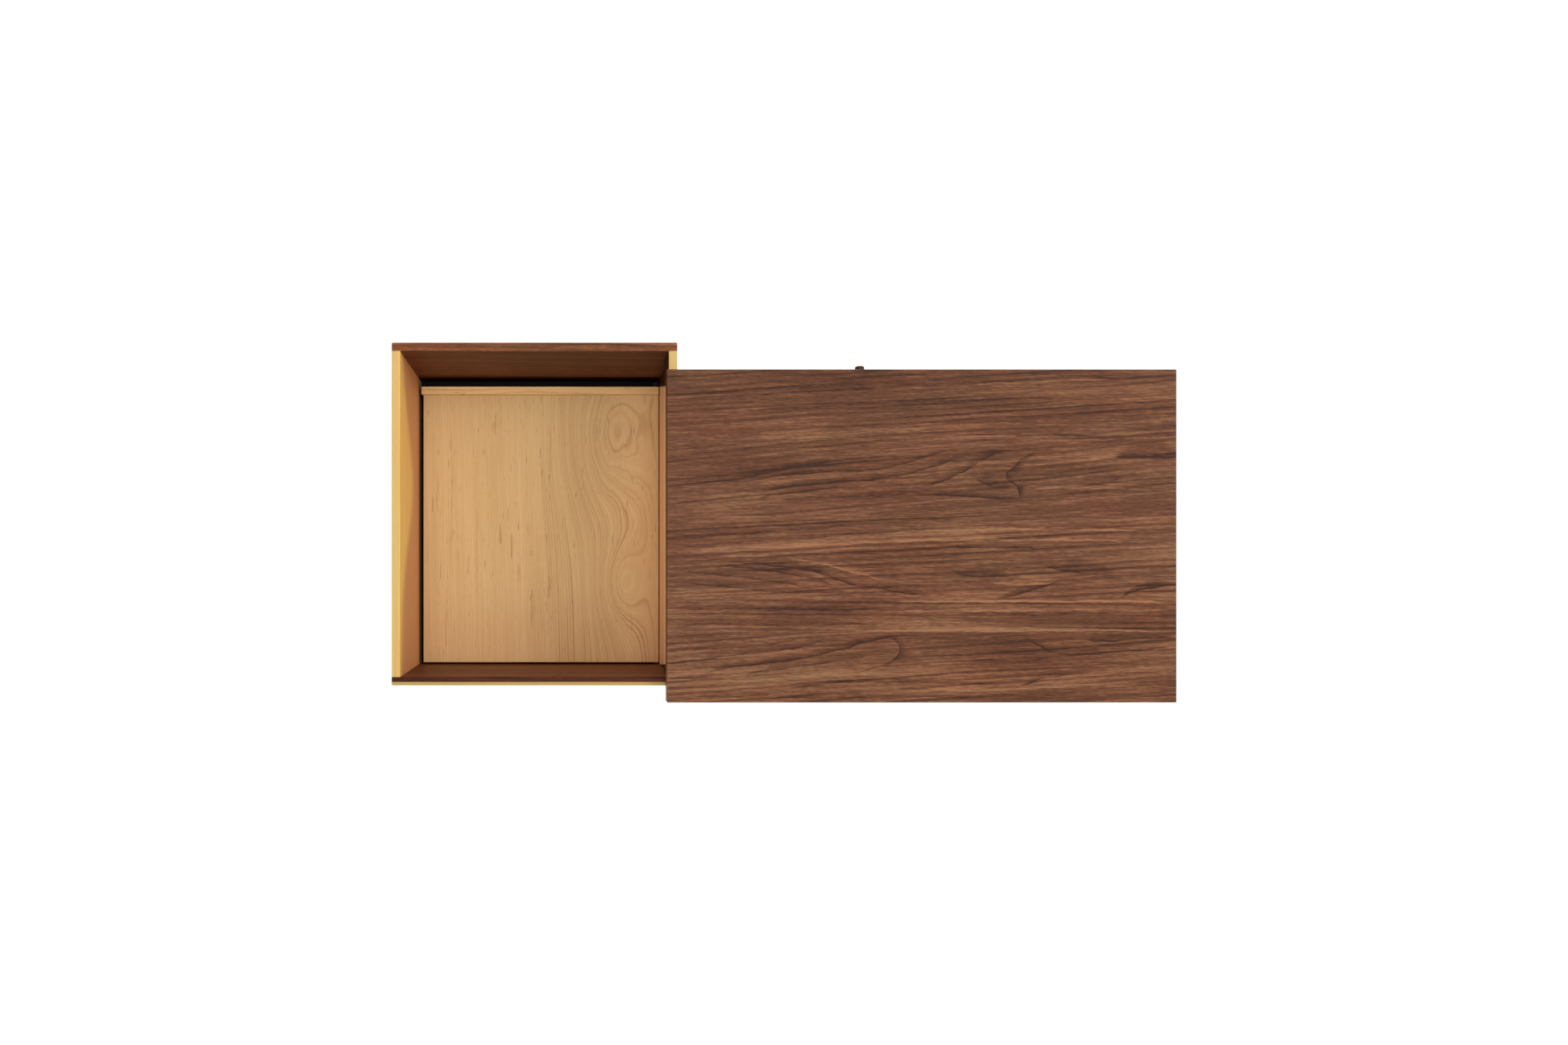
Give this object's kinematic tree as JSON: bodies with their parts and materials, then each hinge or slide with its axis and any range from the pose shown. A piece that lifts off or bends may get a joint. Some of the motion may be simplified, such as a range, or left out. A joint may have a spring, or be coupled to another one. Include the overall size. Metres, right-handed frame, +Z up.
{
  "type": "wooden puzzle box",
  "caption": "Two-tone wooden puzzle box: a tray that swings out from under a long walnut lid, with a lift-out false bottom, a sliding rod in the lid and a hidden end drawer.",
  "frame": {"origin": "centre of the felt underside, straight below the plan centre of the lid", "axes": "+X along the lid's long side, towards the secret drawer; +Y to the back, away from the pivot corner; +Z up"},
  "size_m": [0.5412, 0.2503, 0.147],
  "materials": {
    "walnut": "satin oil, grain along the board",
    "maple": "satin oil, grain along the board",
    "birch_ply": "sanded, unfinished",
    "beech_dowel": "raw",
    "brass": "brushed",
    "ebony": "satin",
    "felt": "pressed wool felt"
  },
  "bodies": {
    "carcass": {"base_felt": "felt", "base_board": "walnut", "front_wall": "walnut", "pedestal_divider": "walnut", "pedestal_back_wall": "walnut", "lid_stave_1": "walnut", "lid_stave_2": "walnut", "lid_stave_3": "walnut", "lid_stave_4": "walnut", "lid_stave_5": "walnut", "lid_splines": "birch_ply", "rod_cover_strip": "maple", "cover_strip_screws": "brass", "lid_pins": "brass", "base_screws": "brass", "carcass_dowels": "beech_dowel", "pivot_pins": "brass", "pivot_washers": "brass", "lid_pivot_leaf": "brass", "base_pivot_leaf": "brass", "carcass_leaf_screws": "brass", "drawer_stop_pin": "brass"},
    "tray": {"tray_back_wall": "walnut", "tray_left_wall": "maple", "tray_top_rail": "maple", "tray_bottom_rail": "maple", "tray_side_panel": "maple", "tray_front_wall": "walnut", "tray_front_facing": "maple", "tray_bottom": "birch_ply", "tray_cleats": "maple", "compartment_lining": "felt", "tray_dowels": "beech_dowel", "tray_upper_leaf": "brass", "tray_lower_leaf": "brass", "tray_leaf_screws": "brass"},
    "false_bottom": {"false_bottom_panel": "maple", "finger_batten": "maple", "batten_dowels": "beech_dowel"},
    "lock_rod": {"lock_rod": "ebony", "lock_tooth": "ebony", "lock_knob": "ebony"},
    "drawer": {"drawer_front": "walnut", "drawer_side_near": "maple", "drawer_side_far": "maple", "drawer_back": "maple", "drawer_bottom": "birch_ply", "drawer_dowels": "beech_dowel", "drawer_felt": "felt"}
  },
  "joints": [
    {"name": "tray_swing", "type": "hinge", "parent": "carcass", "child": "tray", "pos_m": [-0.1694, -0.101, 0], "axis": [0, 0, 1], "range_deg": [-90, 0]},
    {"name": "lock_rod_slide", "type": "slide", "parent": "carcass", "child": "lock_rod", "axis": [0, 1, 0], "range_m": [0, 0.0056]},
    {"name": "false_bottom_lift", "type": "slide", "parent": "tray", "child": "false_bottom", "axis": [0, 0, 1], "range_m": [0, 0.066]},
    {"name": "secret_drawer_slide", "type": "slide", "parent": "carcass", "child": "drawer", "axis": [1, 0, 0], "range_m": [0, 0.06]}
  ]
}
